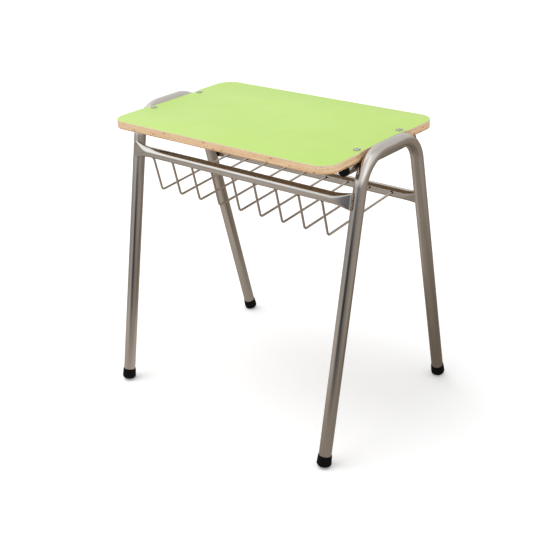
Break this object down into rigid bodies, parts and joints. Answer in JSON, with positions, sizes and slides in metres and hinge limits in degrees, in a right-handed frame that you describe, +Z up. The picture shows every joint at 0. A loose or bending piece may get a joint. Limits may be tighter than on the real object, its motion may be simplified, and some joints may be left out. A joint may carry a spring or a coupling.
{
  "type": "school desk",
  "caption": "Pupil's desk: laminated board with rounded corners between inverted-U steel tube frames, with a bent-wire book rack on flattened-end rails.",
  "frame": {"origin": "on the floor under the middle of the board", "axes": "+Z up, X along the board's long side, +Y towards the pupil, where the rack is open"},
  "size_m": [0.756, 0.5706, 0.769],
  "materials": {
    "green_laminate": "satin light green laminate",
    "backing_laminate": "matt brown backing laminate",
    "board_edge_wood": "clear-lacquered pale beech",
    "satin_steel": "satin, clear-lacquered",
    "wire_steel": "satin",
    "weld_steel": "rough weld bead",
    "zinc_screws": "pale zinc",
    "insert_steel": "zinc-plated",
    "black_rubber": "matt black",
    "black_plastic": "satin black"
  },
  "bodies": {
    "root": {"board_core": "board_edge_wood", "top_laminate": "green_laminate", "backing_laminate": "backing_laminate", "upper_rack_rail": "satin_steel", "lower_rack_rail": "satin_steel", "upper_rail_welds": "weld_steel", "lower_rail_welds": "weld_steel", "upper_wire_welds": "weld_steel", "lower_wire_welds": "weld_steel", "top_screws": "zinc_screws", "threaded_inserts": "insert_steel", "left_frame_tube": "satin_steel", "left_support_tube": "satin_steel", "left_support_lugs": "satin_steel", "back_left_foot": "black_rubber", "back_left_support_cap": "black_plastic", "front_left_foot": "black_rubber", "front_left_support_cap": "black_plastic", "right_frame_tube": "satin_steel", "right_support_tube": "satin_steel", "right_support_lugs": "satin_steel", "back_right_foot": "black_rubber", "back_right_support_cap": "black_plastic", "front_right_foot": "black_rubber", "front_right_support_cap": "black_plastic", "rack_wire_1": "wire_steel", "rack_wire_2": "wire_steel", "rack_wire_3": "wire_steel", "rack_wire_4": "wire_steel", "rack_wire_5": "wire_steel", "rack_wire_6": "wire_steel", "rack_wire_7": "wire_steel", "rack_wire_8": "wire_steel", "rack_wire_9": "wire_steel"}
  },
  "joints": []
}
